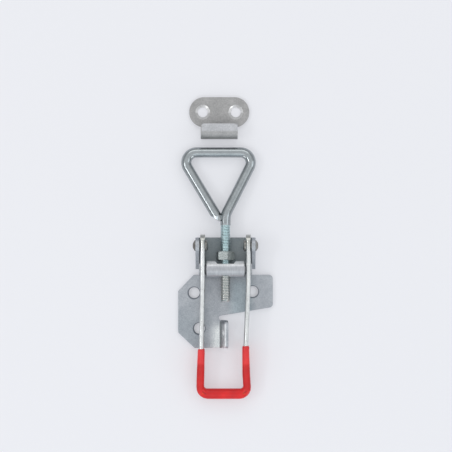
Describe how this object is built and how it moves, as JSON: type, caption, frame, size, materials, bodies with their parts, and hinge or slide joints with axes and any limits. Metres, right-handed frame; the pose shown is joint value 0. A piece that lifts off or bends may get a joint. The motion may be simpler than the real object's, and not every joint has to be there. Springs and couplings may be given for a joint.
{
  "type": "over-centre toggle latch",
  "caption": "Adjustable over-centre toggle latch: pressed base with ears, U handle with dipped grip, threaded wire hook with lock nut, and a curled keeper plate.",
  "frame": {"origin": "on the base's mounting face, under the handle's pivots, on the centre line between its ears", "axes": "+Z out of the mounting face, +Y along the latch from the handle towards the keeper, +X to the right seen with the keeper at the top"},
  "size_m": [0.0738, 0.2352, 0.0204],
  "materials": {
    "plate": "dull zinc plate on pressed sheet",
    "rod": "bright zinc plate",
    "wire": "bright zinc plate",
    "turned": "bright zinc plate on turned steel",
    "rivets": "zinc plate, dulled by upsetting",
    "grip": "dipped soft vinyl"
  },
  "bodies": {
    "base": {"base_plate": "plate", "rivet_left": "rivets", "rivet_right": "rivets", "keeper": "plate"},
    "lever": {"handle": "rod", "grip": "grip"},
    "barrel": {"cross_barrel": "turned"},
    "hook": {"hook": "wire"},
    "nut": {"lock_nut": "turned"}
  },
  "joints": [
    {"name": "handle_turn", "type": "hinge", "parent": "base", "child": "lever", "pos_m": [0, 0, 0.014], "axis": [-1, 0, 0], "range_deg": [0, 150]},
    {"name": "barrel_turn", "type": "hinge", "parent": "lever", "child": "barrel", "pos_m": [0, -0.01837, 0.01304], "axis": [-1, 0, 0], "range_deg": [-150, 0]},
    {"name": "hook_run", "type": "slide", "parent": "barrel", "child": "hook", "axis": [0, 0.9951, -0.0989], "range_m": [-0.006, 0.006]},
    {"name": "nut_run", "type": "slide", "parent": "barrel", "child": "nut", "axis": [0, 0.9951, -0.0989], "range_m": [-0.0028, 0.014]}
  ],
  "couplings": [
    {"joint": "barrel_turn", "follows": "handle_turn", "ratio": -1}
  ]
}
